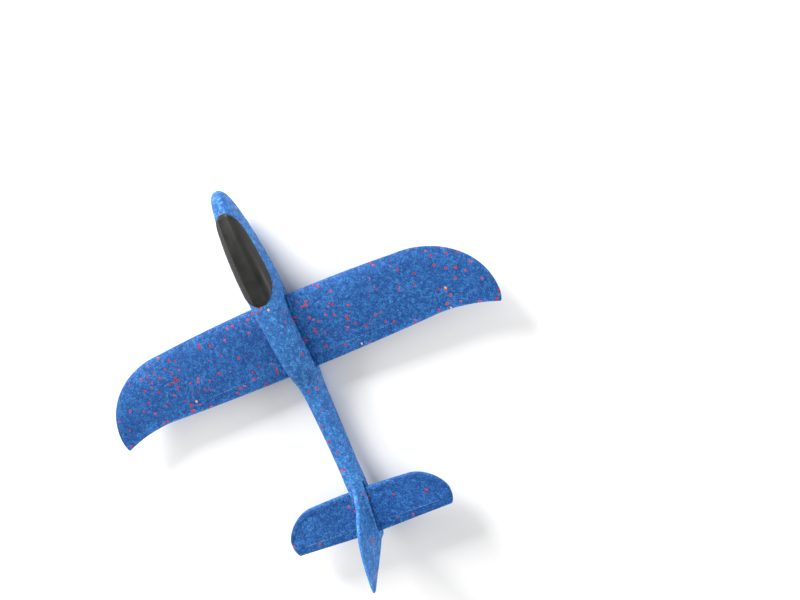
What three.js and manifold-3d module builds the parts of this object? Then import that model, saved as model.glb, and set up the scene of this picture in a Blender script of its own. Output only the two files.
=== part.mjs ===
// A hand-launched foam glider: one moulded fuselage with its fin, a one-piece wing and a one-piece
// tailplane that push through slots in it, a canopy over the nose and a steel slug under the canopy.
// Millimetres. +X points to the nose, +Y to the left wing tip, +Z up.
// Every outline is drawn about the middle of the wing root; the group then moves the whole glider so
// that its origin is the bottom centre of its box.
import * as THREE from 'three';
import { mergeVertices } from 'three/addons/utils/BufferGeometryUtils.js';
import Module from 'manifold-3d';

const wasm = await Module();
wasm.setup();

// ---- driving dimensions ----------------------------------------------------------------------
const SPAN = 480;
const NOSE_X = 187;
const FIN_TIP_X = -268;
const FIN_TIP_Z = 86;
const BELLY_Z = -21.5;
const GAP = 0.35;                        // clearance between neighbouring pieces

const DIHEDRAL = 0.0292;                 // rise of each wing half per millimetre of span
const WING_ROOT_THICK = 9;
const WING_TIP_THICK = 4;
const WING_EDGE_THICK = 2.2;             // thickness of the wing's trailing edge
const FLAP = { hinge: -20, level: 0.34, inner: 29, outer: 117, rise: 0.0273, tail: -60 };

const TAIL_X = -207;                     // middle of the tailplane's root chord
const TAIL_Z = 6.5;
const TAIL_INCIDENCE = 0.12;             // radians, trailing edge up
const TAIL_HALF_CHORD = 26.5;
const TAIL_HALF_SPAN = 101;
const TAIL_EDGE_THICK = 1.8;
const TAIL_LEAD_THICK = 5.2;             // the raised band along the leading edge
const TAIL_PANEL_THICK = 3.8;
const TAIL_BAND = 7;
const SLOT_SPARE = 7;                    // the tail slot is longer than the tailplane at its front
const SLOT_STEP = -2;                    // where the slot narrows, behind the tailplane's middle
const ELEVATOR = { chord: -15.5, inner: 20, outer: 84, rise: 0, tail: -260 };
const TAB_LEAN = 0.62;                   // a tab's front face leans back under its hinge, so it can bend down

const FIN_THICK = 5;
const FIN_ROUND = 1.6;

const SLUG = { x: 128, radius: 8, height: 5 };

const FOAM = { color: 0x2f6fb3, roughness: 0.85, metalness: 0 };
const BLACK_FOAM = { color: 0x2b2c2a, roughness: 0.6, metalness: 0 };
const STEEL = { color: 0x9a9c9e, roughness: 0.4, metalness: 1 };

// ---- solids ----------------------------------------------------------------------------------
function toManifold(geometry) {
  const bare = geometry.index ? geometry.toNonIndexed() : geometry.clone();
  bare.deleteAttribute('normal');
  bare.deleteAttribute('uv');
  const merged = mergeVertices(bare, 1e-4);
  return new wasm.Manifold(new wasm.Mesh({
    numProp: 3,
    vertProperties: new Float32Array(merged.attributes.position.array),
    triVerts: new Uint32Array(merged.index.array),
  }));
}

function toGeometry(solid) {
  const mesh = solid.getMesh();
  const geometry = new THREE.BufferGeometry();
  const stride = mesh.numProp;
  const places = [];
  for (let i = 0; i < mesh.vertProperties.length; i += stride) {
    places.push(mesh.vertProperties[i], mesh.vertProperties[i + 1], mesh.vertProperties[i + 2]);
  }
  geometry.setAttribute('position', new THREE.Float32BufferAttribute(places, 3));
  geometry.setIndex(Array.from(mesh.triVerts));
  geometry.computeVertexNormals();
  return geometry;
}

// Joins a list of rings, each with the same number of points, into one closed solid.
function loft(rings) {
  const count = rings[0].length;
  const places = [];
  for (const ring of rings) {
    for (const point of ring) places.push(...point);
  }
  const index = [];
  for (let r = 0; r < rings.length - 1; r += 1) {
    for (let i = 0; i < count; i += 1) {
      const a = r * count + i;
      const b = r * count + ((i + 1) % count);
      index.push(a, b, a + count, b, b + count, a + count);
    }
  }
  const last = (rings.length - 1) * count;
  for (let i = 1; i < count - 1; i += 1) {
    index.push(0, i + 1, i, last, last + i, last + i + 1);
  }
  const geometry = new THREE.BufferGeometry();
  geometry.setAttribute('position', new THREE.Float32BufferAttribute(places, 3));
  geometry.setIndex(index);
  if (signedVolume(geometry) < 0) {
    for (let i = 0; i < index.length; i += 3) {
      [index[i], index[i + 1]] = [index[i + 1], index[i]];
    }
    geometry.setIndex(index);
  }
  return toManifold(geometry);
}

function signedVolume(geometry) {
  const corner = [new THREE.Vector3(), new THREE.Vector3(), new THREE.Vector3()];
  let sum = 0;
  for (let i = 0; i < geometry.index.count; i += 3) {
    corner.forEach((v, k) => v.fromBufferAttribute(geometry.attributes.position, geometry.index.getX(i + k)));
    sum += corner[0].dot(corner[1].clone().cross(corner[2]));
  }
  return sum / 6;
}

// Extrudes an outline of [x, z] points across the span, from one y to another. rise lifts it with
// distance from the middle, as the wing's dihedral does.
function acrossSpan(outline, yLow, yHigh, { bevel = 0, rise = 0 } = {}) {
  const shape = new THREE.Shape(outline.map(([x, z]) => new THREE.Vector2(x, z)));
  const geometry = new THREE.ExtrudeGeometry(shape, {
    depth: yHigh - yLow - 2 * bevel,
    bevelEnabled: bevel > 0,
    bevelThickness: bevel,
    bevelSize: bevel,
    bevelOffset: -bevel,
    bevelSegments: 2,
  });
  geometry.rotateX(Math.PI / 2);
  geometry.translate(0, yHigh - bevel, 0);
  const place = geometry.attributes.position;
  for (let i = 0; i < place.count; i += 1) {
    place.setZ(i, place.getZ(i) + rise * Math.abs(place.getY(i)));
  }
  return toManifold(geometry);
}

// Smooth values between hand-set stations: each row is [x, value, value, ...], x falling. A value that
// turns or stays level at a station has no slope there, so the curve never swings past it.
function between(stations, x) {
  let i = 0;
  while (i < stations.length - 2 && x < stations[i + 1][0]) i += 1;
  const slopeAt = (j, k) => {
    if (j === 0 || j === stations.length - 1) return 0;
    const before = (stations[j][k] - stations[j - 1][k]) / (stations[j][0] - stations[j - 1][0]);
    const after = (stations[j + 1][k] - stations[j][k]) / (stations[j + 1][0] - stations[j][0]);
    return before * after <= 0 ? 0 : (2 * before * after) / (before + after);
  };
  const [start, end] = [stations[i], stations[i + 1]];
  const run = end[0] - start[0];
  const t = (x - start[0]) / run;
  return start.slice(1).map((value, n) => {
    const m0 = slopeAt(i, n + 1) * run;
    const m1 = slopeAt(i + 1, n + 1) * run;
    return (2 * t ** 3 - 3 * t ** 2 + 1) * value + (t ** 3 - 2 * t ** 2 + t) * m0
      + (3 * t ** 2 - 2 * t ** 3) * end[n + 1] + (t ** 3 - t ** 2) * m1;
  });
}

// ---- fuselage --------------------------------------------------------------------------------
// [x, half width, top, bottom]
const FUSELAGE = [
  [NOSE_X, 1.6, 8.6, 5.2], [NOSE_X - 1.4, 4.2, 11.6, 2], [NOSE_X - 5, 7, 15.2, -2],
  [174, 9.8, 18.8, -6.6], [158, 12.6, 22.8, -11.6], [138, 15.2, 26, -15.6], [115, 17.4, 27.8, -18.8],
  [90, 18.8, 28, -20.9], [75, 19, 27.6, BELLY_Z], [50, 18.6, 26.4, BELLY_Z], [10, 17.6, 23, BELLY_Z],
  [-20, 16.8, 17.8, BELLY_Z], [-34, 15.8, 13.4, BELLY_Z], [-50, 13.5, 8, -21.2], [-66, 12.4, 6.8, -20.6],
  [-113, 11.2, 7.8, -17.8], [-170, 10.2, 11.4, -12.8], [-195, 9, 13.4, -10.8],
  [-220, 6.4, 14.4, -9.4], [-240, 3.6, 13.4, -8.6], [-244, 2.4, 11.6, -7.4],
];
const FUSELAGE_SIDES = 20;
const SQUARENESS = 3;                    // exponent of the cross-section: 2 is an ellipse

function fuselageRing(x, grow = 0) {
  const [half, top, bottom] = between(FUSELAGE, x);
  const flat = Math.sin(Math.PI / 2 - Math.PI / FUSELAGE_SIDES) ** (2 / SQUARENESS);
  const middle = (top + bottom) / 2;
  const tall = (top - bottom) / 2 + grow;
  const soft = (v) => Math.sign(v) * Math.abs(v) ** (2 / SQUARENESS);
  return Array.from({ length: FUSELAGE_SIDES }, (_, i) => {
    const turn = ((i + 0.5) / FUSELAGE_SIDES) * 2 * Math.PI;
    return [x, (half + grow) * soft(Math.cos(turn)), middle + (tall * soft(Math.sin(turn))) / flat];
  });
}

function fuselageBody(grow = 0) {
  const places = FUSELAGE.flatMap(([x], i) => {
    const next = FUSELAGE[i + 1];
    return next && x - next[0] > 12 ? [x, (x + next[0]) / 2] : [x];
  });
  return loft(places.map((x) => fuselageRing(x, grow)));
}

// The fin's side view: a long dorsal curve, a tip swept behind the trailing edge's foot.
function finOutline() {
  const shape = new THREE.Shape();
  shape.moveTo(-150, 3);
  shape.lineTo(-150, 9);
  shape.bezierCurveTo(-176, 13, -190, 22, -199, 38);
  shape.bezierCurveTo(-210, 60, -229, 78, FIN_TIP_X + 3, FIN_TIP_Z - 0.5);
  shape.quadraticCurveTo(FIN_TIP_X - 1, FIN_TIP_Z, FIN_TIP_X + 0.6, FIN_TIP_Z - 5);
  shape.bezierCurveTo(-261, 60, -255, 34, -243.6, 2);
  shape.lineTo(-243, -6);
  shape.lineTo(-215, -6);
  shape.closePath();
  return shape.getPoints(7).slice(0, -1).map((p) => [p.x, p.y]);
}

// ---- wing ------------------------------------------------------------------------------------
const TIP = { y: 150, x: -26, reach: 74.8 };     // the leading edge ends in a quarter ellipse

function wingLeading(y) {
  if (y < TIP.y) return 54 - 5.2 * (y / TIP.y) ** 2;
  const along = (y - TIP.y) / (SPAN / 2 - TIP.y);
  return TIP.x + TIP.reach * Math.sqrt(Math.max(0, 1 - along * along));
}

function wingTrailing(y) {
  if (y < 170) return -33.2 + 4 * (y / 170) ** 2;
  if (y < 236) return -29.2 - 12.3 * ((y - 170) / 66) ** 2;
  return -41.5 + 10 * ((y - 236) / 4) ** 2;
}

// One chordwise section: a round nose at z 0, a flat underside and a top that falls to a thin edge.
const BELOW = 0.42;                              // share of the thickness below the nose's middle

function section(lead, trail, thick, edge) {
  const chord = lead - trail;
  const round = (share) => Math.sqrt(1 - (1 - Math.min(1, share)) ** 2);
  const top = [];
  const under = [];
  for (const u of [0.002, 0.03, 0.1, 0.25, 0.45, 0.7, 0.88, 1]) {
    const fall = thick * (1 - 0.75 * (Math.max(0, u - 0.25) / 0.75) ** 1.4);
    const crown = u < 0.25 ? (1 - BELOW) * thick * round(u / 0.25) : Math.max(fall, edge) - BELOW * thick;
    top.push([lead - u * chord, crown]);
    under.push([lead - u * chord, -BELOW * thick * round(u / 0.12)]);
  }
  return [...top, ...under.reverse()];
}

function wingRing(y, grow = 0) {
  const side = Math.abs(y);
  const share = side / (SPAN / 2);
  const tipRound = Math.sqrt(Math.max(0.06, 1 - Math.max(0, (side - 228) / 12.6) ** 2));
  const thick = (WING_ROOT_THICK + (WING_TIP_THICK - WING_ROOT_THICK) * share ** 1.3) * tipRound;
  const rise = DIHEDRAL * side;
  const edge = Math.min(WING_EDGE_THICK, thick * 0.6);
  return section(wingLeading(side) + grow, wingTrailing(side) - grow, thick + 2 * grow, edge + 2 * grow)
    .map(([x, z]) => [x, y, z + rise]);
}

const WING_STATIONS = [0, 29, 75, 117, 150, 172, 190, 205, 217, 227, 233.5, 237.6, 240];

function wingBody() {
  const left = WING_STATIONS.map((y) => wingRing(y));
  const right = WING_STATIONS.slice(1).map((y) => wingRing(-y)).reverse();
  return loft([...right, ...left]);
}

// The slot in the fuselage: the wing's own section, grown by the clearance, past both flanks.
function wingSlot() {
  return loft([-24, 0, 24].map((y) => wingRing(y, GAP)));
}

// ---- tailplane -------------------------------------------------------------------------------
// Local chordwise x: 0 is the middle of the root chord.
function tailLeading(y) {
  if (y < 60) return TAIL_HALF_CHORD - 1.8 * (y / 60) ** 2;
  const along = (y - 60) / (TAIL_HALF_SPAN - 60);
  return -5 + (TAIL_HALF_CHORD - 1.8 + 5) * (1 - along ** 2) ** 0.75;
}

function tailTrailing(y) {
  const inner = -TAIL_HALF_CHORD + 3 * (y / TAIL_HALF_SPAN);
  return y < 96 ? inner : inner + 9 * ((y - 96) / (TAIL_HALF_SPAN - 96)) ** 2;
}

// One section all along the span, scaled down at the tips, so the tailplane can slide through its slot.
function tailSection(lead, trail, scale, grow) {
  const half = (TAIL_LEAD_THICK * scale) / 2 + grow;
  const panel = (TAIL_PANEL_THICK * scale) / 2 + grow;
  const edge = (TAIL_EDGE_THICK * scale) / 2 + grow;
  const front = lead + grow;
  const back = trail - grow;
  return [
    [front, 0.35 * half], [front - 1, 0.8 * half], [front - 2.6, half], [front - TAIL_BAND, half],
    [front - TAIL_BAND - 1.6, panel], [ELEVATOR.chord + 1, panel], [back, edge],
    [back, -edge], [ELEVATOR.chord + 1, -panel], [front - TAIL_BAND - 1.6, -panel],
    [front - TAIL_BAND, -half], [front - 2.6, -half], [front - 1, -0.8 * half], [front, -0.35 * half],
  ];
}

// From the tailplane's own level frame to its place and incidence on the boom.
function onBoom([x, z]) {
  const [c, s] = [Math.cos(TAIL_INCIDENCE), Math.sin(TAIL_INCIDENCE)];
  return [TAIL_X + x * c + z * s, TAIL_Z - x * s + z * c];
}

const TAIL_STATIONS = [0, 20, 52, 66, 76, 84, 90, 95, 98.5, TAIL_HALF_SPAN - 0.8, TAIL_HALF_SPAN];

function tailRing(y) {
  const side = Math.abs(y);
  const scale = Math.sqrt(Math.max(0.12, 1 - Math.max(0, (side - 94) / 7.6) ** 2));
  return tailSection(tailLeading(side), tailTrailing(side), scale, 0).map((p) => {
    const [x, z] = onBoom([Math.max(p[0], tailTrailing(side)), p[1]]);
    return [x, y, z];
  });
}

function tailBody() {
  const left = TAIL_STATIONS.map((y) => tailRing(y));
  const right = TAIL_STATIONS.slice(1).map((y) => tailRing(-y)).reverse();
  return loft([...right, ...left]);
}

// The slot's tall front part reaches far enough back to pass the band where it sweeps aft to the tips.
function tailSlot() {
  const outline = tailSection(TAIL_HALF_CHORD + SLOT_SPARE, -TAIL_HALF_CHORD, 1, GAP);
  for (const [tallEnd, panelStart] of [[3, 4], [10, 9]]) {
    outline[tallEnd][0] = SLOT_STEP;
    outline[panelStart][0] = SLOT_STEP - 5;
  }
  return acrossSpan(outline.map(onBoom), -30, 30);
}

// ---- canopy and slug -------------------------------------------------------------------------
// Side view of everything above the canopy's lower edge; drop lowers the edge by a clearance.
function aboveCanopyEdge(drop = 0) {
  const curve = new THREE.Shape();
  curve.moveTo(52.5, 40);
  curve.lineTo(53.5 - drop, 27);
  curve.bezierCurveTo(62 - drop, 26, 68, 15.5 - drop, 84, 14 - drop);
  curve.lineTo(128, 14.5 - drop);
  curve.bezierCurveTo(144, 15 - drop, 152 + drop, 18, 161.5 + drop, 24);
  curve.lineTo(163, 40);
  curve.closePath();
  return curve.getPoints(8).slice(0, -1).map((p) => [p.x, p.y]);
}

function slugSolid(grow) {
  const radius = SLUG.radius + grow;
  const geometry = new THREE.CylinderGeometry(radius, radius, SLUG.height + 2 * grow, 24);
  geometry.rotateX(Math.PI / 2);
  geometry.translate(SLUG.x, 0, 14 - GAP - SLUG.height / 2 - grow);
  return toManifold(geometry);
}

// ---- assembly --------------------------------------------------------------------------------
const glider = new THREE.Group();

function addPiece(name, solid, look) {
  const mesh = new THREE.Mesh(toGeometry(solid), new THREE.MeshStandardMaterial(look));
  mesh.name = name;
  glider.add(mesh);
}

const canopyRoom = acrossSpan(aboveCanopyEdge(GAP), -30, 30);
const slugWell = slugSolid(GAP).add(slugSolid(GAP).translate(0, 0, 4));
const fuselage = fuselageBody()
  .add(acrossSpan(finOutline(), -FIN_THICK / 2, FIN_THICK / 2, { bevel: FIN_ROUND }))
  .subtract(canopyRoom)
  .subtract(slugWell)
  .subtract(wingSlot())
  .subtract(tailSlot());
addPiece('fuselage', fuselage, FOAM);
addPiece('canopy', fuselageBody(0.4).intersect(acrossSpan(aboveCanopyEdge(), -30, 30)), BLACK_FOAM);
addPiece('nose_ballast', slugSolid(0), STEEL);

// Side view of the part of a surface aft of its scored line, from below the surface to above it.
function aftOfHinge(hingeX, hingeZ, tailX, lean) {
  const reach = 7;
  return [
    [hingeX, hingeZ + reach], [hingeX, hingeZ], [hingeX - lean * reach, hingeZ - reach],
    [tailX, hingeZ - reach], [tailX, hingeZ + reach],
  ];
}

// A tab is what the surface has inside this outline; the surface keeps what is outside a larger one.
function splitTabs(surface, tab, [hingeX, hingeZ], names) {
  let rest = surface;
  const own = aftOfHinge(hingeX, hingeZ, tab.tail, TAB_LEAN);
  const room = aftOfHinge(hingeX + GAP, hingeZ, tab.tail, 0);
  [1, -1].forEach((side, n) => {
    const [low, high] = [side * tab.inner, side * tab.outer].sort((a, b) => a - b);
    addPiece(names[n], surface.intersect(acrossSpan(own, low, high, { rise: tab.rise })), FOAM);
    rest = rest.subtract(acrossSpan(room, low - GAP, high + GAP, { rise: tab.rise }));
  });
  return rest;
}

const wing = splitTabs(wingBody(), FLAP, [FLAP.hinge, FLAP.level], ['left_flap', 'right_flap']);
addPiece('wing', wing, FOAM);

const elevatorHinge = onBoom([ELEVATOR.chord, TAIL_PANEL_THICK / 2]);
const tailplane = splitTabs(tailBody(), ELEVATOR, elevatorHinge, ['left_elevator', 'right_elevator']);
addPiece('tailplane', tailplane, FOAM);

glider.position.set(-(NOSE_X + FIN_TIP_X) / 2, 0, -BELLY_Z);

export default glider;
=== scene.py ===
"""Looks for the hand-launched foam glider: fine moulded-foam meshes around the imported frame.

Shapes are drawn in millimetres about the middle of the wing root, as the part is, and then moved to
the frame's own place and unit. +X is the nose, +Y the left wing tip, +Z up.
"""
import math

import bmesh
import bpy
import numpy as np
from mathutils import Matrix, Vector


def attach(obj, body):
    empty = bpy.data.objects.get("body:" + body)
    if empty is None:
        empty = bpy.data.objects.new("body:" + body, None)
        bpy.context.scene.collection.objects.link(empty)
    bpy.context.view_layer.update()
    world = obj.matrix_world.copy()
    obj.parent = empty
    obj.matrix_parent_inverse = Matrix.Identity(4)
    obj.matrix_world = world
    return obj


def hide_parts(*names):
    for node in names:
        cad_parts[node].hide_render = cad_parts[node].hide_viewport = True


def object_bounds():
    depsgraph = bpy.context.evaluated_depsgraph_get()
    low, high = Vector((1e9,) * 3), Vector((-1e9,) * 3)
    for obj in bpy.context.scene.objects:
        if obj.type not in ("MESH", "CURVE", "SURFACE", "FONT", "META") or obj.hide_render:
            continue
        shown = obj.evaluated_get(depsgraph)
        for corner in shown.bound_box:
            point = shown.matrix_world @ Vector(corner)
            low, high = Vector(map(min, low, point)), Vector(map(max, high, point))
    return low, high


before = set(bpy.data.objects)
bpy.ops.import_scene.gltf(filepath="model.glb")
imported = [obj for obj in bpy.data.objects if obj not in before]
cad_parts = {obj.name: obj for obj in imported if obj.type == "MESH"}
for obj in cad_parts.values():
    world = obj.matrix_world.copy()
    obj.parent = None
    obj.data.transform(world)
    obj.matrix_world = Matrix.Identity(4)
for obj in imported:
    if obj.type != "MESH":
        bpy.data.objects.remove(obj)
CAD_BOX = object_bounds()

# ---- driving dimensions, millimetres -----------------------------------------------------------
NOSE_X = 187.0
BELLY_Z = -21.5
FIN_TIP = (-268.0, 86.0)
HALF_SPAN = 240.0
GAP = 0.35                         # clearance between a tab, the canopy or the slug and its neighbour
SLOT_GAP = 0.5                     # the slots' clearance before their edges slump
SLOT_END = 2.2 * SLOT_GAP          # the same behind a trailing edge, where the slot is narrowest
CUT_REACH = 30.0                   # half the width of what is cut through the fuselage
TAB_LEAN = 0.62                    # how far a tab's front face leans back, per millimetre of depth
LIP = 0.30                         # length of the skin left across a scored line
LIP_SHARE = 0.13                   # its thickness, as a share of the foam's

DIHEDRAL = 0.0292
WING_ROOT_THICK = 9.0
WING_TIP_THICK = 4.0
WING_EDGE_THICK = 2.2
BELOW = 0.42                       # share of the wing's thickness below its nose
FLAP_HINGE_X = -20.0
FLAP_SPAN = (29.0, 117.0)
FLAP_CHORD = 13.0                  # from the hinge to the trailing edge, near enough to size the lip
WING_TAPER_FROM = 150.0            # from here out the leading edge curves back to the tip
THICKEST = 0.25                    # share of the chord from the leading edge to the thickest place

TAIL_PLACE = (-207.0, 6.5)         # middle of the tailplane's chord, seen from the side
TAIL_INCIDENCE = 0.12
TAIL_HALF_CHORD = 26.5
TAIL_HALF_SPAN = 101.0
TAIL_LEAD_HALF = 2.6
TAIL_PANEL_HALF = 1.9
TAIL_EDGE_HALF = 0.9
TAIL_BAND = 7.0                    # width of the raised band along the leading edge
BAND_FADE = 3.0                    # width over which it sinks to the panel behind it
TAIL_NOSE = 2.8                    # how far back the rounding of the leading edge reaches
TAIL_TAPER_FROM = 60.0             # from here out its leading edge curves back
TAIL_SLOT_SPARE = 7.0              # how far the slot runs on in front of the tailplane
TAIL_SLOT_STEP = -2.0              # where the slot narrows behind the band
ELEVATOR_HINGE = -15.5
ELEVATOR_SPAN = (20.0, 84.0)
ELEVATOR_CHORD = 10.5              # the same for an elevator

FIN_THICK = 5.0
CANOPY_REAR, CANOPY_FRONT = 53.5, 161.5
ABOVE_CANOPY = (108.0, 40.0)       # a place in side view that the canopy's edge curves round
CANOPY_PROUD = 0.8                 # how far the canopy stands out of the skin
CANOPY_LIP = 2.4                   # height over which its rim rounds off
SLUG = {"x": 128.0, "radius": 8.0, "height": 5.0, "top": 13.65}
BEAD = 0.0036                      # width of a foam bead, metres

# deep, plain and pale blues; the fuselage's set is a paler, painted-lit copy of the flat parts' foam, for
# the stronger light that falls on the fuselage
FLAT_BLUES = ((0.003, 0.032, 0.148), (0.010, 0.080, 0.285), (0.055, 0.24, 0.57))
BODY_BLUES_PAINTED_LIT = ((0.009, 0.058, 0.215), (0.027, 0.138, 0.41), (0.12, 0.41, 0.80))
RED_SHARES = {"wing": 0.07, "tail": 0.012, "body": 0.04}     # shares of the beads that are red
FAINT_BULGE, FULL_BULGE = 70.0, 330.0      # surface curvature, 1 / m, where the paler edges, part wear and part painted highlight, start and are full
EDGE_ROW = 0.7                     # where the next mesh row lies beside a cut, so that its paler edge, part wear and part painted highlight, stays narrow
MM = 0.001
ORIGIN = Vector((CAD_BOX[1][0] / MM - NOSE_X, 0.0, CAD_BOX[0][2] / MM - BELLY_Z))


def to_frame(points):
    """Drawing millimetres to the frame's metres."""
    return (np.asarray(points, float) + np.array(ORIGIN)) * MM


# ---- camera, floor and light -------------------------------------------------------------------
# the camera's place in metres, and which ways its right and up point
VIEW_FROM = Vector((0.1494, -0.3699, 0.9424))
VIEW_RIGHT = Vector((-0.4097, -0.8945, -0.1789))
VIEW_UP = Vector((0.905, -0.3739, -0.2028))
LENS_MM = 40.0


def make_camera():
    data = bpy.data.cameras.new("camera")
    data.lens = LENS_MM
    data.sensor_width = 36.0
    camera = bpy.data.objects.new("camera", data)
    back = VIEW_RIGHT.cross(VIEW_UP).normalized()
    up = back.cross(VIEW_RIGHT).normalized()
    right = up.cross(back)
    turn = Matrix((right, up, back)).transposed()
    camera.matrix_world = Matrix.Translation(VIEW_FROM) @ turn.to_4x4()
    bpy.context.scene.collection.objects.link(camera)
    bpy.context.scene.camera = camera


def make_light(name, place, target, size, power):
    data = bpy.data.lights.new(name, "AREA")
    data.shape = "RECTANGLE"
    data.size, data.size_y = size
    data.energy = power
    light = bpy.data.objects.new(name, data)
    light.location = place
    light.rotation_euler = (Vector(target) - Vector(place)).to_track_quat("-Z", "Y").to_euler()
    bpy.context.scene.collection.objects.link(light)


def make_stage():
    """A wide pale floor under the belly, lit by large soft lights."""
    mesh = bpy.data.meshes.new("floor")
    reach = 6.0
    corners = [(-reach, -reach, 0), (reach, -reach, 0), (reach, reach, 0), (-reach, reach, 0)]
    mesh.from_pydata(corners, [], [(0, 1, 2, 3)])
    floor = bpy.data.objects.new("floor", mesh)
    floor.location.z = CAD_BOX[0][2] - 0.0002
    bpy.context.scene.collection.objects.link(floor)
    material = bpy.data.materials.new("pale_floor")
    material.use_nodes = True
    shader = material.node_tree.nodes["Principled BSDF"]
    shader.inputs["Base Color"].default_value = (0.86, 0.86, 0.86, 1)
    shader.inputs["Roughness"].default_value = 0.9
    mesh.materials.append(material)
    world = bpy.data.worlds.new("studio")
    world.use_nodes = True
    background = world.node_tree.nodes["Background"]
    background.inputs["Color"].default_value = (1, 1, 1, 1)
    background.inputs["Strength"].default_value = 0.48
    bpy.context.scene.world = world
    bpy.context.scene.view_settings.view_transform = "Standard"
    make_light("key", (1.9, 0.55, 0.72), (0, 0, 0), (0.9, 0.9), 100)
    make_light("side", (-0.5, -1.7, 0.55), (-0.1, 0, 0), (1.4, 0.6), 24)
    make_light("left_strip", (0.5, 1.4, 0.8), (0.1, 0, 0), (1.2, 0.35), 12)


# ---- numbers between stations ------------------------------------------------------------------
def between(stations, x):
    """Smooth values between stations [x, value, ...] with x falling; never swings past a station."""
    table = np.asarray(stations, float)
    last = len(table) - 1
    i = int(np.clip(np.searchsorted(-table[:, 0], -x, side="right") - 1, 0, last - 1))

    def slope(j):
        if j in (0, last):
            return np.zeros(table.shape[1] - 1)
        before = (table[j, 1:] - table[j - 1, 1:]) / (table[j, 0] - table[j - 1, 0])
        after = (table[j + 1, 1:] - table[j, 1:]) / (table[j + 1, 0] - table[j, 0])
        total = np.where(np.abs(before + after) < 1e-12, 1.0, before + after)
        return np.where(before * after <= 0, 0.0, 2 * before * after / total)

    run = table[i + 1, 0] - table[i, 0]
    t = (x - table[i, 0]) / run
    return ((2 * t**3 - 3 * t**2 + 1) * table[i, 1:] + (t**3 - 2 * t**2 + t) * run * slope(i)
            + (3 * t**2 - 2 * t**3) * table[i + 1, 1:] + (t**3 - t**2) * run * slope(i + 1))


def smoothstep(value, low, high):
    """0 below low, 1 above high and an S between them."""
    t = np.clip((np.asarray(value, float) - low) / (high - low), 0, 1)
    return t * t * (3 - 2 * t)


def bezier(a, b, c, d, count):
    """Points along a cubic curve, without its last point."""
    t = np.linspace(0, 1, count, endpoint=False)[:, None]
    a, b, c, d = (np.asarray(p, float) for p in (a, b, c, d))
    return (1 - t)**3 * a + 3 * (1 - t)**2 * t * b + 3 * (1 - t) * t**2 * c + t**3 * d


# ---- meshes ------------------------------------------------------------------------------------
def new_object(name, points, faces):
    """A mesh object from drawing points, with doubled points merged and normals turned outwards."""
    mesh = bpy.data.meshes.new(name)
    mesh.from_pydata([tuple(p) for p in to_frame(points)], [], faces)
    piece = bpy.data.objects.new(name, mesh)
    bpy.context.scene.collection.objects.link(piece)
    work = bmesh.new()
    work.from_mesh(mesh)
    bmesh.ops.remove_doubles(work, verts=work.verts, dist=1e-6)
    bmesh.ops.dissolve_degenerate(work, edges=work.edges, dist=1e-7)
    bmesh.ops.recalc_face_normals(work, faces=work.faces)
    work.to_mesh(mesh)
    work.free()
    return piece


def loft(name, rings):
    """One closed mesh through rings that each have the same number of points."""
    rings = np.asarray(rings, float)
    rows, count = rings.shape[:2]
    faces = []
    for r in range(rows - 1):
        for i in range(count):
            a, b = r * count + i, r * count + (i + 1) % count
            faces.append((a, b, b + count, a + count))
    faces.append(tuple(range(count)))
    faces.append(tuple(range((rows - 1) * count, rows * count)))
    return new_object(name, rings.reshape(-1, 3), faces)


def prism(name, outline, reach):
    """An outline of (x, z) points pushed out to y = +reach and -reach."""
    rings = [[(x, y, z) for x, z in outline] for y in (-reach, reach)]
    return loft(name, rings)


def shell(name, top, under, keep=None):
    """A closed sheet between two grids of points, with walls round every cell that isn't kept."""
    if keep is None:
        keep = np.ones((top.shape[0] - 1, top.shape[1] - 1), bool)
    rows, columns = keep.shape
    width = columns + 1
    count = (rows + 1) * width
    faces = []

    def kept(i, j):
        return 0 <= i < rows and 0 <= j < columns and keep[i, j]

    for i in range(rows):
        for j in range(columns):
            if not keep[i, j]:
                continue
            a, d = i * width + j, (i + 1) * width + j
            b, c = a + 1, d + 1
            faces.append((a, b, c, d))
            faces.append((d + count, c + count, b + count, a + count))
            for near, (p, q) in (((i, j - 1), (d, a)), ((i, j + 1), (b, c)),
                                 ((i - 1, j), (a, b)), ((i + 1, j), (c, d))):
                if not kept(*near):
                    faces.append((q, p, p + count, q + count))
    points = np.concatenate([top.reshape(-1, 3), under.reshape(-1, 3)])
    piece = new_object(name, points, faces)
    work = bmesh.new()
    work.from_mesh(piece.data)
    bmesh.ops.delete(work, geom=[v for v in work.verts if not v.link_faces], context="VERTS")
    work.to_mesh(piece.data)
    work.free()
    return piece


def apply_modifiers(piece):
    """Replaces the mesh with what its modifiers make of it."""
    bpy.context.view_layer.update()
    graph = bpy.context.evaluated_depsgraph_get()
    mesh = bpy.data.meshes.new_from_object(piece.evaluated_get(graph))
    old = piece.data
    piece.modifiers.clear()
    piece.data = mesh
    mesh.name = piece.name
    bpy.data.meshes.remove(old)


def combine(piece, other, how):
    """Joins or cuts piece with other, which is used up."""
    step = piece.modifiers.new(how.lower(), "BOOLEAN")
    step.operation = how
    step.solver = "EXACT"
    step.object = other
    apply_modifiers(piece)
    bpy.data.objects.remove(other)


def soften(piece, voxel, rounds):
    """Remeshes to even small faces and lets the edges slump as moulded foam does."""
    remesh = piece.modifiers.new("remesh", "REMESH")
    remesh.mode = "VOXEL"
    remesh.voxel_size = voxel
    smooth = piece.modifiers.new("smooth", "SMOOTH")
    smooth.factor = 0.5
    smooth.iterations = rounds
    apply_modifiers(piece)


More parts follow.
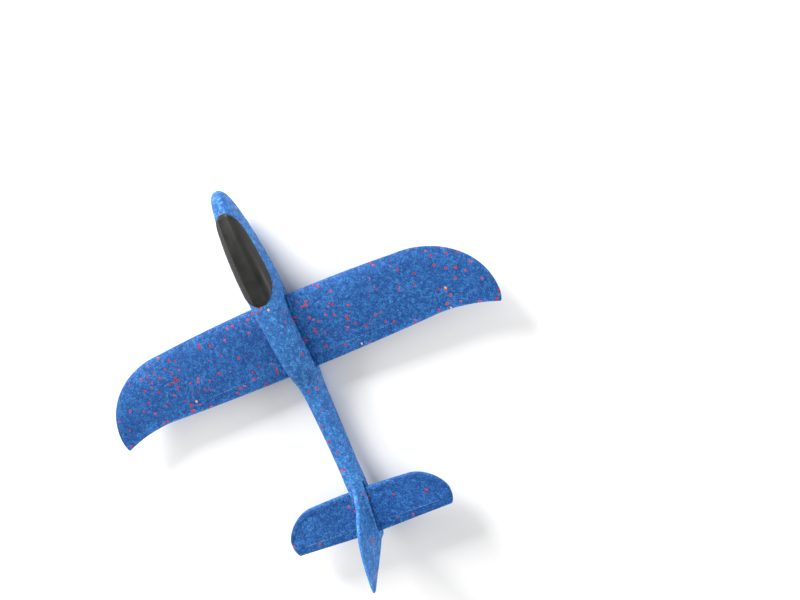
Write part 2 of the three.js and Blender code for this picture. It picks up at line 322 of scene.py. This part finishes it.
def round_trailing_edge(piece, width, trailing):
    """Rounds the sharp edges that lie behind the line trailing(y); scored edges stay sharp."""
    work = bmesh.new()
    work.from_mesh(piece.data)
    chosen = []
    for edge in work.edges:
        x, y, _ = (edge.verts[0].co + edge.verts[1].co) / (2 * MM) - ORIGIN
        sharp = edge.is_manifold and edge.calc_face_angle() > math.radians(40)
        if sharp and x < trailing(abs(y)):
            chosen.append(edge)
    bmesh.ops.bevel(work, geom=chosen, offset=width * MM, segments=2, profile=0.5, affect="EDGES",
                    clamp_overlap=True)
    work.to_mesh(piece.data)
    work.free()


def mark_edges(piece, rounds=3):
    """Stores how strongly the surface bulges at each point, 0 to 1, for paler edges: part handling wear,
    part painted highlight where edges catch the light.
    """
    mesh = piece.data
    count = len(mesh.vertices)
    place = np.empty(count * 3)
    mesh.vertices.foreach_get("co", place)
    place = place.reshape(-1, 3)
    normal = np.array([v.normal[:] for v in mesh.vertices])
    ends = np.empty(len(mesh.edges) * 2, int)
    mesh.edges.foreach_get("vertices", ends)
    a, b = ends.reshape(-1, 2).T
    step = place[a] - place[b]
    square = np.maximum((step**2).sum(1), 1e-12)
    bulge, links = np.zeros(count), np.zeros(count)
    np.add.at(bulge, a, (normal[a] * step).sum(1) / square)
    np.add.at(bulge, b, -(normal[b] * step).sum(1) / square)
    np.add.at(links, a, 1)
    np.add.at(links, b, 1)
    bulge /= np.maximum(links, 1)
    for _ in range(rounds):
        total = bulge.copy()
        np.add.at(total, a, bulge[b])
        np.add.at(total, b, bulge[a])
        bulge = total / (links + 1)
    value = np.clip((bulge - FAINT_BULGE) / (FULL_BULGE - FAINT_BULGE), 0, 1)
    attribute = mesh.attributes.new("bulge", "FLOAT", "POINT")
    attribute.data.foreach_set("value", value.astype(np.float32))


def finish_piece(piece, material, body, nodes, smooth_angle=50):
    """Shading, material, and the body, CAD nodes and material slot that the piece stands for."""
    mesh = piece.data
    mesh.shade_smooth()
    mesh.set_sharp_from_angle(angle=math.radians(smooth_angle))
    mark_edges(piece)
    mesh.materials.clear()
    mesh.materials.append(material)
    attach(piece, body)
    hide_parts(*nodes)


# ---- materials ---------------------------------------------------------------------------------
class Tree:
    """Short names for building a material's node tree."""

    def __init__(self, name):
        self.material = bpy.data.materials.new(name)
        self.material.use_nodes = True
        self.tree = self.material.node_tree
        self.shader = self.tree.nodes["Principled BSDF"]

    def node(self, kind, inputs=None, **settings):
        node = self.tree.nodes.new(kind)
        for key, value in settings.items():
            setattr(node, key, value)
        for key, value in (inputs or {}).items():
            self.put(node.inputs[key], value)
        return node

    def put(self, socket, value):
        if isinstance(value, bpy.types.NodeSocket):
            self.tree.links.new(value, socket)
        else:
            socket.default_value = value

    def math(self, operation, *values):
        node = self.node("ShaderNodeMath", operation=operation)
        for socket, value in zip(node.inputs, values):
            self.put(socket, value)
        return node.outputs[0]

    def spread(self, value, low, high, out_low=0.0, out_high=1.0):
        node = self.node("ShaderNodeMapRange", clamp=True)
        for key, number in zip(("Value", "From Min", "From Max", "To Min", "To Max"),
                               (value, low, high, out_low, out_high)):
            self.put(node.inputs[key], number)
        return node.outputs["Result"]

    def mix(self, share, first, second):
        """Two colours mixed; a mix node keeps its colour sockets at 6 and 7, and its result at 2."""
        node = self.node("ShaderNodeMix", data_type="RGBA")
        self.put(node.inputs["Factor"], share)
        self.put(node.inputs[6], first)
        self.put(node.inputs[7], second)
        return node.outputs[2]

    def bulge(self):
        """The bulge attribute that mark_edges() stores, for paler edges that are part wear and part painted
        highlight.
        """
        node = self.node("ShaderNodeAttribute", attribute_name="bulge", attribute_type="GEOMETRY")
        return node.outputs["Fac"]

    def surface(self, color, roughness, height, strength, depth):
        """Joins colour, roughness and a bump to the shader, and returns the finished material."""
        bump = self.node("ShaderNodeBump", {"Height": height, "Strength": strength, "Distance": depth})
        self.put(self.shader.inputs["Base Color"], color)
        self.put(self.shader.inputs["Roughness"], roughness)
        self.put(self.shader.inputs["Normal"], bump.outputs["Normal"])
        return self.material

    def noise(self, vector, scale, detail=2.0, roughness=0.5):
        node = self.node("ShaderNodeTexNoise", {"Vector": vector, "Scale": scale, "Detail": detail,
                                                "Roughness": roughness})
        return node.outputs["Fac"]


def foam_material(name, blues, reds):
    """Expanded-bead foam: fused blue beads, a share of red ones, a fine moulded grain, and paler edges that
    are part wear and part painted highlight.
    """
    t = Tree(name)
    place = t.node("ShaderNodeTexCoord").outputs["Object"]
    warp = t.node("ShaderNodeTexNoise", {"Vector": place, "Scale": 320.0, "Detail": 1.0})
    shift = t.node("ShaderNodeVectorMath", operation="MULTIPLY_ADD")
    t.put(shift.inputs[0], warp.outputs["Color"])
    shift.inputs[1].default_value = (BEAD * 0.35,) * 3
    t.put(shift.inputs[2], place)
    bead_place = shift.outputs[0]
    cell = t.node("ShaderNodeTexVoronoi", {"Vector": bead_place, "Scale": 1 / BEAD})
    border = t.node("ShaderNodeTexVoronoi", {"Vector": bead_place, "Scale": 1 / BEAD},
                    feature="DISTANCE_TO_EDGE")
    lots = t.node("ShaderNodeSeparateColor", {"Color": cell.outputs["Color"]})
    seam = t.spread(border.outputs["Distance"], 0.0, 0.14, 1.0, 0.0)

    # scales are in features per metre: the moulded grain, single specks, and large faint clouds
    grain = t.noise(place, 1150.0, 3.0, 0.8)
    speck = t.noise(place, 560.0, 2.0, 0.6)
    cloud = t.noise(place, 18.0, 2.0)

    deep, plain, pale = [(*blue, 1) for blue in blues]
    tone = t.math("ADD", t.math("MULTIPLY", lots.outputs[2], 0.22), grain)
    tone = t.math("ADD", tone, t.math("MULTIPLY", speck, 0.75))
    tone = t.math("ADD", tone, t.math("MULTIPLY", cloud, 0.2))
    blue = t.mix(t.spread(tone, 0.80, 1.12), deep, plain)
    blue = t.mix(t.spread(tone, 1.10, 1.42, 0.0, 0.9), blue, pale)
    # edges that bulge are painted paler: part handling wear, part painted highlight where light catches them
    wear_and_edge_highlight = t.math("MULTIPLY", t.bulge(), t.spread(speck, 0.36, 0.68, 0.15, 0.52))
    blue = t.mix(wear_and_edge_highlight, blue, pale)
    blue = t.mix(t.math("MULTIPLY", seam, 0.2), blue, deep)

    red = t.mix(lots.outputs[2], (0.40, 0.014, 0.016, 1), (0.60, 0.036, 0.034, 1))
    dot = t.spread(cell.outputs["Distance"], 0.40, 0.46, 1.0, 0.0)
    is_red = t.math("MULTIPLY", t.math("LESS_THAN", lots.outputs[0], reds), dot)
    color = t.mix(is_red, blue, red)
    is_odd = t.math("MULTIPLY", t.math("GREATER_THAN", lots.outputs[1], 0.9988), dot)
    color = t.mix(is_odd, color, (0.7, 0.36, 0.22, 1))

    height = t.math("MULTIPLY", seam, -0.6)
    height = t.math("ADD", height, t.math("MULTIPLY", grain, 0.7))
    height = t.math("ADD", height, t.math("MULTIPLY", speck, 0.5))
    t.shader.inputs["Specular IOR Level"].default_value = 0.22
    return t.surface(color, t.spread(grain, 0.3, 0.7, 0.46, 0.66), height, 0.7, 0.0006)


def canopy_material():
    """Near-black moulded canopy: satin skin with a fine pebble, a few pits painted darker as shade, and
    edges painted paler, part rubbing wear and part painted highlight.
    """
    t = Tree("canopy_black")
    place = t.node("ShaderNodeTexCoord").outputs["Object"]
    pebble = t.noise(place, 900.0, 3.0, 0.6)
    cloud = t.noise(place, 60.0, 3.0)
    pits = t.node("ShaderNodeTexVoronoi", {"Vector": place, "Scale": 420.0})
    pit = t.spread(pits.outputs["Distance"], 0.12, 0.26, 1.0, 0.0)
    lots = t.node("ShaderNodeSeparateColor", {"Color": pits.outputs["Color"]})
    pit = t.math("MULTIPLY", pit, t.math("LESS_THAN", lots.outputs[0], 0.12))
    color = t.mix(t.spread(cloud, 0.35, 0.65), (0.0065, 0.0065, 0.006, 1), (0.012, 0.013, 0.011, 1))
    # edges that bulge are painted paler: part rubbing wear, part painted highlight where light catches them
    color = t.mix(t.math("MULTIPLY", t.bulge(), 0.35), color, (0.045, 0.048, 0.044, 1))
    # the pits are painted darker: painted shade inside them
    color = t.mix(t.math("MULTIPLY", pit, 0.6), color, (0.004, 0.004, 0.004, 1))
    height = t.math("SUBTRACT", t.math("MULTIPLY", pebble, 0.35), pit)
    t.shader.inputs["Specular IOR Level"].default_value = 0.36
    return t.surface(color, t.spread(cloud, 0.3, 0.7, 0.4, 0.55), height, 0.25, 0.0003)


def steel_material():
    """Bare steel: a fine grain and a little tarnish."""
    t = Tree("slug_steel")
    place = t.node("ShaderNodeTexCoord").outputs["Object"]
    grain = t.noise(place, 2200.0, 2.0)
    tarnish = t.noise(place, 140.0, 4.0)
    color = t.mix(t.spread(tarnish, 0.4, 0.7), (0.56, 0.57, 0.58, 1), (0.33, 0.31, 0.28, 1))
    t.shader.inputs["Metallic"].default_value = 1.0
    return t.surface(color, t.spread(tarnish, 0.3, 0.7, 0.25, 0.5), grain, 0.2, 0.0001)


# ---- fuselage ----------------------------------------------------------------------------------
# [x, half width, top, bottom]
FUSELAGE = [
    [NOSE_X, 1.6, 8.6, 5.2], [NOSE_X - 1.4, 4.2, 11.6, 2], [NOSE_X - 5, 7, 15.2, -2],
    [174, 9.8, 18.8, -6.6], [158, 12.6, 22.8, -11.6], [138, 15.2, 26, -15.6], [115, 17.4, 27.8, -18.8],
    [90, 18.8, 28, -20.9], [75, 19, 27.6, BELLY_Z], [50, 18.6, 26.4, BELLY_Z], [10, 17.6, 23, BELLY_Z],
    [-20, 16.8, 17.8, BELLY_Z], [-34, 15.8, 13.4, BELLY_Z], [-50, 13.5, 8, -21.2],
    [-66, 12.4, 6.8, -20.6], [-113, 11.2, 7.8, -17.8], [-170, 10.2, 11.4, -12.8],
    [-195, 9, 13.4, -10.8], [-220, 6.4, 14.4, -9.4], [-240, 3.6, 13.4, -8.6], [-244, 2.4, 11.6, -7.4],
]
SQUARENESS = 3.0
SQUASH = math.cos(math.pi / 20) ** (2 / SQUARENESS)      # leaves the flat strip under the belly


def fuselage_point(x, turn, grow=0.0):
    """A point on the skin; turn is the angle round the section from the left flank.

    The section is a squared ellipse, squarer still under the fin.
    """
    half, top, bottom = between(FUSELAGE, x)
    tall = (top - bottom) / 2 + grow
    c, s = math.cos(turn), math.sin(turn)
    square = SQUARENESS + 2.2 * float(smoothstep(-x, 150, 185))
    across = (half + grow) * math.copysign(abs(c) ** (2 / square), c)
    up = tall * np.clip(math.copysign(abs(s) ** (2 / square), s) / SQUASH, -1, 1)
    return x, across, (top + bottom) / 2 + up


def fuselage_loft():
    nose = NOSE_X - 14 * (1 - np.cos(np.linspace(0, math.pi / 2, 12)))
    body = np.linspace(NOSE_X - 14, -244, 130)[1:]
    turns = np.linspace(0, 2 * math.pi, 72, endpoint=False) + math.pi / 72
    return loft("fuselage_foam", [[fuselage_point(x, turn) for turn in turns]
                                  for x in np.concatenate([nose, body])])


def fin_outline():
    """Side view of the fin, from its front foot over the tip and down into the boom."""
    tip_x, tip_z = FIN_TIP
    tip_front, tip_back = (tip_x + 3, tip_z - 0.5), (tip_x + 0.6, tip_z - 5)
    return np.concatenate([
        [(-150, 3)],
        bezier((-150, 9), (-176, 13), (-190, 22), (-199, 38), 12),
        bezier((-199, 38), (-210, 60), (-229, 78), tip_front, 18),
        bezier(tip_front, (tip_x + 0.2, tip_z), (tip_x - 0.6, tip_z - 1), tip_back, 5),
        bezier(tip_back, (-261, 60), (-255, 34), (-243.6, 2), 16),
        [(-243.6, 2), (-243, -6), (-215, -6)],
    ])


def fin_blade():
    """The fin's foam, rounded all round its outline and a little thinner at its tip."""
    outline = fin_outline()
    middle = np.array([-225.0, 30.0])
    along = np.roll(outline, -1, axis=0) - np.roll(outline, 1, axis=0)
    inward = np.stack([along[:, 1], -along[:, 0]], 1)
    inward /= np.maximum(np.linalg.norm(inward, axis=1), 1e-9)[:, None]
    inward *= np.sign((inward * (middle - outline)).sum(1))[:, None]
    taper = 1 - 0.22 * smoothstep(outline[:, 1], 20, FIN_TIP[1])
    steps = [(2.2, 1.0), (1.2, 0.94), (0.45, 0.72), (0.05, 0.36), (0.0, 0.0)]     # inset, share of thickness
    rings = []
    for inset, share in steps + [(inset, -share) for inset, share in steps[-2::-1]]:
        points = outline + inward * inset
        rings.append(np.stack([points[:, 0], share * FIN_THICK / 2 * taper, points[:, 1]], 1))
    return loft("fin", rings)


def canopy_inside(x):
    """0 at the canopy's two ends, and 1 from 5 mm inside them."""
    return float(smoothstep(min(x - CANOPY_REAR, CANOPY_FRONT - x), 0, 5))


def canopy_edge():
    """Side view of the canopy's lower edge, which sinks just into the skin at both of its ends."""
    edge = np.concatenate([
        bezier((CANOPY_REAR, 27), (62, 26), (68, 15.5), (84, 14), 24),
        bezier((84, 14), (98, 14.2), (114, 14.3), (128, 14.5), 10),
        bezier((128, 14.5), (144, 15), (152, 18), (CANOPY_FRONT, 24), 20),
        [(CANOPY_FRONT, 24)],
    ])
    for point in edge:
        crown = between(FUSELAGE, point[0])[1]
        point[1] = min(point[1], crown - 0.02 - 0.78 * canopy_inside(point[0]))
    return edge


def canopy_room(drop):
    """What is cut out of the nose for the canopy: all that is above its edge, lowered by drop."""
    edge = canopy_edge()
    away = edge - np.array(ABOVE_CANOPY)
    away /= np.linalg.norm(away, axis=1)[:, None]
    lowered = edge + away * drop
    front, rear = CANOPY_FRONT + 3.5, CANOPY_REAR - 3.5
    clear = [(front, 27), (front, 45), (rear, 45), (rear + 1.5, 28.5)]
    return prism("canopy_room", [*lowered, *clear], CUT_REACH)


def slug_well():
    profile = np.linspace(0, 2 * math.pi, 40, endpoint=False)
    radius = SLUG["radius"] + GAP
    rings = [[(SLUG["x"] + radius * math.cos(a), radius * math.sin(a), z) for a in profile]
             for z in (SLUG["top"] - SLUG["height"] - GAP, SLUG["top"] + 3)]
    return loft("slug_well", rings)


def make_fuselage(material):
    piece = fuselage_loft()
    combine(piece, fin_blade(), "UNION")
    combine(piece, canopy_room(GAP), "DIFFERENCE")
    combine(piece, slug_well(), "DIFFERENCE")
    combine(piece, wing_slot(), "DIFFERENCE")
    combine(piece, tail_slot(), "DIFFERENCE")
    soften(piece, 0.0008, 4)
    finish_piece(piece, material, "airframe", ["fuselage"], smooth_angle=70)


# ---- wing --------------------------------------------------------------------------------------
def wing_leading(y):
    """Leading edge at a distance out along the span: nearly straight, then an ellipse to the tip."""
    if y < WING_TAPER_FROM:
        return 54 - 5.2 * (y / WING_TAPER_FROM) ** 2
    out = (y - WING_TAPER_FROM) / (HALF_SPAN - WING_TAPER_FROM)
    return -26 + 74.8 * math.sqrt(max(0.0, 1 - out ** 2))


def wing_trailing(y):
    """Trailing edge: nearly straight, then swept back to a small rounded tip."""
    if y < 170:
        return -33.2 + 4 * (y / 170) ** 2
    if y < 236:
        return -29.2 - 12.3 * ((y - 170) / 66) ** 2
    return -41.5 + 10 * ((y - 236) / 4) ** 2


def wing_heights(x, y, grow=0.0):
    """Top and underside of the wing at a place, without the dihedral."""
    side = abs(y)
    # the last 12 mm of the span thin to a rounded tip
    tip = math.sqrt(max(0.06, 1 - max(0.0, (side - 228) / 12.6) ** 2))
    thick = (WING_ROOT_THICK + (WING_TIP_THICK - WING_ROOT_THICK) * (side / HALF_SPAN) ** 1.3) * tip
    thick += 2 * grow
    edge = min(WING_EDGE_THICK + 2 * grow, thick * 0.6)
    lead, trail = wing_leading(side) + grow, wing_trailing(side) - grow
    u = float(np.clip((lead - x) / max(lead - trail, 1e-6), 0, 1))

    def rounded(share):
        return math.sqrt(1 - (1 - min(1.0, share)) ** 2)

    if u < THICKEST:
        top = (1 - BELOW) * thick * rounded(u / THICKEST)
    else:
        aft = (u - THICKEST) / (1 - THICKEST)
        top = max(thick * (1 - 0.75 * aft ** 1.4), edge) - BELOW * thick
    return top, -BELOW * thick * rounded(u / 0.12)


def root_lug(x, y):
    """Short raised ribs that locate the wing against the fuselage's flanks, near both edges."""
    across = math.exp(-((abs(y) - 20.8) / 0.8) ** 2)
    front = smoothstep(x, 39, 42) * (1 - smoothstep(x, 49, 51.5))
    rear = smoothstep(x, -31, -29) * (1 - smoothstep(x, -26, -24))
    return 0.75 * across * max(float(front), float(rear))


def with_close_rows(values, near):
    """Adds a value close inside each end, so that a rounded edge stays narrow."""
    low, high = values[0], values[-1]
    return np.unique(np.concatenate([values, [low + near, high - near]]))


def cut_tabs(top, under, spans, hinge, inner, outer):
    """Leaves out the cells behind column hinge between spans inner and outer, where a tab goes.

    The one column that is left there is thinned to the skin that still joins a tab along its hinge.
    """
    rows = (inner - 0.01 < np.abs(spans)) & (np.abs(spans) < outer + 0.01)
    skin = (under[rows, hinge] - top[rows, hinge]) * LIP_SHARE
    under[rows, hinge] = top[rows, hinge] + skin
    keep = np.ones((top.shape[0] - 1, top.shape[1] - 1), bool)
    middles = np.abs((spans[1:] + spans[:-1]) / 2)
    cut = (middles > inner) & (middles < outer)
    keep[np.ix_(cut, np.arange(hinge, keep.shape[1]))] = False
    return keep


def lean_front(top, under):
    """Leans a tab's front face back under its hinge, so that the tab can bend down."""
    front, back = under[:, 0, 0].copy(), under[:, -1, 0].copy()
    share = (under[:, :, 0] - back[:, None]) / (front - back)[:, None]
    lean = TAB_LEAN * (top[:, 0, 2] - under[:, 0, 2])
    under[:, :, 0] -= lean[:, None] * share


def split_x(side, hinge, limit, leading, trailing):
    """The line a hinge lies on, carried on past the span limit at the same share of the chord."""
    if side <= limit:
        return hinge
    share = (leading(limit) - hinge) / (leading(limit) - trailing(limit))
    return leading(side) - share * (leading(side) - trailing(side))


def chord_places(side, front, aft, hinge, limit, leading, trailing):
    """Places along the chord: shares front of the way to the hinge line, then shares aft of the rest."""
    lead, trail = leading(side), trailing(side)
    middle = split_x(side, hinge, limit, leading, trailing)
    return [lead + (middle - lead) * u for u in front] + [middle + (trail - middle) * u for u in aft]


def wing_grid(spans, front, aft, hinge):
    """Top and under points for stations across the span and places along the chord."""
    top, under = [], []
    for y in spans:
        chord = chord_places(abs(y), front, aft, hinge, FLAP_SPAN[1] + 1, wing_leading, wing_trailing)
        rise = DIHEDRAL * abs(y)
        upper, lower = [], []
        for x in chord:
            high, low = wing_heights(x, y)
            upper.append((x, y, high + root_lug(x, y) + rise))
            lower.append((x, y, low + rise))
        top.append(upper)
        under.append(lower)
    return np.array(top), np.array(under)


def half_spans(inner, outer):
    """Stations on one half, with rows exactly at both ends of the flap's cut-out."""
    tip = HALF_SPAN - 40 * (1 - np.sin(np.linspace(0, math.pi / 2, 22)))
    return np.unique(np.concatenate([
        np.linspace(0, 16, 6), np.linspace(16, 26, 26),
        with_close_rows(np.linspace(26, inner, 4), EDGE_ROW),
        with_close_rows(np.linspace(inner, outer, 44), EDGE_ROW),
        with_close_rows(np.linspace(outer, 200, 40), EDGE_ROW), tip,
    ]))


# shares of the way from the leading edge to the hinge, close together at both ends
NOSE_SHARES = np.append((1 - np.cos(np.linspace(0, math.pi / 2, 34)))[:-1] ** 1.15, (0.985, 0.992, 1.0))


def make_wing(material):
    inner, outer = FLAP_SPAN[0] - GAP, FLAP_SPAN[1] + GAP
    half = half_spans(inner, outer)
    spans = np.concatenate([-half[:0:-1], half])
    aft = np.insert(with_close_rows(np.linspace(0, 1, 11), 0.06)[1:], 0, LIP / FLAP_CHORD)
    top, under = wing_grid(spans, NOSE_SHARES, aft, FLAP_HINGE_X + GAP)
    keep = cut_tabs(top, under, spans, len(NOSE_SHARES), inner, outer)
    piece = shell("wing_foam", top, under, keep)
    round_trailing_edge(piece, 0.45, lambda y: wing_trailing(y) + 0.4)
    finish_piece(piece, material, "airframe", ["wing"])


def make_flap(material, side, name):
    spans = side * with_close_rows(np.linspace(*FLAP_SPAN, 60), EDGE_ROW)
    aft = with_close_rows(np.linspace(0, 1, 14), 0.05)[1:]
    top, under = wing_grid(spans, np.array([1.0]), aft, FLAP_HINGE_X)
    lean_front(top, under)
    piece = shell(name + "_foam", top, under)
    round_trailing_edge(piece, 0.4, lambda y: wing_trailing(y) + 0.4)
    finish_piece(piece, material, name, [name])


def wing_slot():
    """The wing's own section, larger by the clearance, which is cut through the fuselage."""
    rings = []
    for y in (-26, 0, 26):
        lead, trail = wing_leading(abs(y)), wing_trailing(abs(y))
        chord = np.linspace(lead + SLOT_GAP, trail - SLOT_END, 60)
        rise = DIHEDRAL * abs(y)
        upper = [(x, y, wing_heights(x, y, SLOT_GAP)[0] + rise) for x in chord]
        lower = [(x, y, wing_heights(x, y, SLOT_GAP)[1] + rise) for x in chord[::-1]]
        rings.append(upper + lower)
    return loft("wing_slot", rings)


# ---- tailplane ---------------------------------------------------------------------------------
def tail_leading(y):
    """Leading edge ahead of the tailplane's middle, at a distance out from the boom."""
    if y < TAIL_TAPER_FROM:
        return TAIL_HALF_CHORD - 1.8 * (y / TAIL_TAPER_FROM) ** 2
    out = (y - TAIL_TAPER_FROM) / (TAIL_HALF_SPAN - TAIL_TAPER_FROM)
    return -5 + (TAIL_HALF_CHORD + 3.2) * (1 - out ** 2) ** 0.75


def tail_trailing(y):
    inner = -TAIL_HALF_CHORD + 3 * (y / TAIL_HALF_SPAN)
    return inner if y < 96 else inner + 9 * ((y - 96) / (TAIL_HALF_SPAN - 96)) ** 2


def tail_half(x, y):
    """Half the thickness: a raised band along the leading edge, then a panel that thins aft."""
    side = abs(y)
    behind = max(0.0, tail_leading(side) - x)
    scale = math.sqrt(max(0.12, 1 - max(0.0, (side - 94) / 7.6) ** 2))
    nose = TAIL_LEAD_HALF * math.sqrt(1 - (1 - min(1.0, behind / TAIL_NOSE)) ** 2)
    step = float(smoothstep(behind, TAIL_BAND - 1.5, TAIL_BAND + BAND_FADE))
    trail = tail_trailing(side)
    thin = float(np.clip((ELEVATOR_HINGE + 1 - x) / max(ELEVATOR_HINGE + 1 - trail, 0.1), 0, 1))
    panel = TAIL_PANEL_HALF + (TAIL_EDGE_HALF - TAIL_PANEL_HALF) * thin
    if behind < TAIL_BAND + BAND_FADE:
        return scale * (nose + (min(panel, nose) - nose) * step)
    return scale * panel


def on_boom(x, y, z):
    """A point of the tailplane's own drawing, tilted by its incidence and moved to its place."""
    c, s = math.cos(TAIL_INCIDENCE), math.sin(TAIL_INCIDENCE)
    return TAIL_PLACE[0] + x * c + z * s, y, TAIL_PLACE[1] - x * s + z * c


def tail_grid(spans, front, aft, hinge):
    top, under = [], []
    for y in spans:
        chord = chord_places(abs(y), front, aft, hinge, ELEVATOR_SPAN[1] + 1, tail_leading, tail_trailing)
        top.append([on_boom(x, y, tail_half(x, y)) for x in chord])
        under.append([on_boom(x, y, -tail_half(x, y)) for x in chord])
    return np.array(top), np.array(under)


def make_tailplane(material):
    inner, outer = ELEVATOR_SPAN[0] - GAP, ELEVATOR_SPAN[1] + GAP
    tip = TAIL_HALF_SPAN - 11 * (1 - np.sin(np.linspace(0, math.pi / 2, 14)))
    half = np.unique(np.concatenate([
        np.linspace(0, 10, 6), np.linspace(10, 18, 12),
        with_close_rows(np.linspace(18, inner, 3), EDGE_ROW),
        with_close_rows(np.linspace(inner, outer, 36), EDGE_ROW),
        with_close_rows(np.linspace(outer, TAIL_HALF_SPAN - 11, 5), EDGE_ROW), tip,
    ]))
    spans = np.concatenate([-half[:0:-1], half])
    front = np.append((1 - np.cos(np.linspace(0, math.pi / 2, 46)))[:-1] ** 1.2, (0.97, 0.985, 1.0))
    aft = np.insert(with_close_rows(np.linspace(0, 1, 8), 0.07)[1:], 0, LIP / ELEVATOR_CHORD)
    top, under = tail_grid(spans, front, aft, ELEVATOR_HINGE + GAP)
    keep = cut_tabs(top, under, spans, len(front), inner, outer)
    piece = shell("tailplane_foam", top, under, keep)
    round_trailing_edge(piece, 0.4, lambda y: TAIL_PLACE[0] + tail_trailing(y) + 0.8)
    finish_piece(piece, material, "tail", ["tailplane"])


def make_elevator(material, side, name):
    spans = side * with_close_rows(np.linspace(*ELEVATOR_SPAN, 44), EDGE_ROW)
    aft = with_close_rows(np.linspace(0, 1, 12), 0.06)[1:]
    top, under = tail_grid(spans, np.array([1.0]), aft, ELEVATOR_HINGE)
    lean_front(top, under)
    piece = shell(name + "_foam", top, under)
    round_trailing_edge(piece, 0.35, lambda y: TAIL_PLACE[0] + tail_trailing(y) + 0.8)
    finish_piece(piece, material, name, [name])


def tail_slot():
    """A slot for the tailplane that is tall for its band in front and lower behind it."""
    front = TAIL_HALF_CHORD + TAIL_SLOT_SPARE + SLOT_GAP
    band, panel, edge = (half + SLOT_GAP for half in (TAIL_LEAD_HALF, TAIL_PANEL_HALF, TAIL_EDGE_HALF))
    upper = []
    for behind in (0, 0.4, 1.2, TAIL_NOSE):
        height = TAIL_LEAD_HALF * math.sqrt(1 - (1 - behind / TAIL_NOSE) ** 2)
        upper.append((front - behind, height + SLOT_GAP))
    upper += [(TAIL_SLOT_STEP, band), (TAIL_SLOT_STEP - 5, panel), (ELEVATOR_HINGE + 1, panel),
              (-TAIL_HALF_CHORD - SLOT_END, edge)]
    outline = upper + [(x, -z) for x, z in upper[::-1]]
    placed = [on_boom(x, 0, z) for x, z in outline]
    return prism("tail_slot", [(x, z) for x, _, z in placed], CUT_REACH)


# ---- canopy and slug ---------------------------------------------------------------------------
def canopy_facets(y, half):
    """A flat top facet runs the length of the canopy between two slightly raised creases."""
    crease = 0.42 * half
    flat = -0.5 * max(0.0, 1 - (abs(y) / crease) ** 3)
    return flat + 0.22 * math.exp(-((abs(y) - crease) / 1.0) ** 2)


def make_canopy(material):
    """A crowned shell that stands a little proud of the nose, with a rounded lip all round."""
    share = (1 - np.cos(np.linspace(0, math.pi, 80))) / 2
    stations = CANOPY_REAR + (CANOPY_FRONT - CANOPY_REAR) * share
    turns = (1 - np.cos(np.linspace(0, math.pi, 66))) / 2
    edge = canopy_edge()
    top, under = [], []
    for x in stations:
        low = float(np.interp(x, edge[:, 0], edge[:, 1]))
        half, crown, bottom = between(FUSELAGE, x)
        tall = (crown - bottom) / 2
        level = np.clip((low - (crown + bottom) / 2) / tall * SQUASH, -1, 1)
        start = math.asin(abs(level) ** (SQUARENESS / 2))
        upper, lower = [], []
        for u in turns:
            turn = start + (math.pi - 2 * start) * u
            skin = np.array(fuselage_point(x, turn))
            rim = min(skin[2] - low, (x - CANOPY_REAR) * 1.1, (CANOPY_FRONT - x) * 1.1)
            lip = math.sqrt(1 - (1 - np.clip(rim / CANOPY_LIP, 0, 1)) ** 2)
            proud = np.array(fuselage_point(x, turn, grow=CANOPY_PROUD * lip))
            proud[2] += lip * canopy_facets(proud[1], half)
            proud[2] = max(proud[2], low)
            upper.append(proud)
            lower.append((x, proud[1] * 0.985, low - 0.9 + 0.6 * canopy_inside(x)))
        top.append(upper)
        under.append(lower)
    piece = shell("canopy_shell", np.array(top), np.array(under))
    soften(piece, 0.0005, 2)
    finish_piece(piece, material, "airframe", ["canopy"], smooth_angle=60)


def make_slug(material):
    """A turned steel slug with chamfered rims and a dimple in its upper face."""
    r, h = SLUG["radius"], SLUG["height"]
    low = SLUG["top"] - h
    profile = [(0.001, low), (r - 0.8, low), (r - 0.2, low + 0.2), (r, low + 0.8), (r, low + h - 0.8),
               (r - 0.2, low + h - 0.2), (r - 0.8, low + h), (1.6, low + h), (0.9, low + h - 0.6),
               (0.001, low + h - 0.8)]
    turns = np.linspace(0, 2 * math.pi, 64, endpoint=False)
    rings = [[(SLUG["x"] + radius * math.cos(a), radius * math.sin(a), z) for a in turns]
             for radius, z in profile]
    piece = loft("steel_slug", rings)
    finish_piece(piece, material, "airframe", ["nose_ballast"], smooth_angle=35)


# ---- assembly ----------------------------------------------------------------------------------
make_camera()
make_stage()
wing_foam = foam_material("wing_foam", FLAT_BLUES, RED_SHARES["wing"])
tail_foam = foam_material("tail_foam", FLAT_BLUES, RED_SHARES["tail"])
# the fuselage gets the paler foam: painted light, the same foam as the flat parts, coloured as if more
# strongly lit
make_fuselage(foam_material("body_foam_painted_lit", BODY_BLUES_PAINTED_LIT, RED_SHARES["body"]))
make_wing(wing_foam)
make_flap(wing_foam, 1, "left_flap")
make_flap(wing_foam, -1, "right_flap")
make_tailplane(tail_foam)
make_elevator(tail_foam, 1, "left_elevator")
make_elevator(tail_foam, -1, "right_elevator")
make_canopy(canopy_material())
make_slug(steel_material())
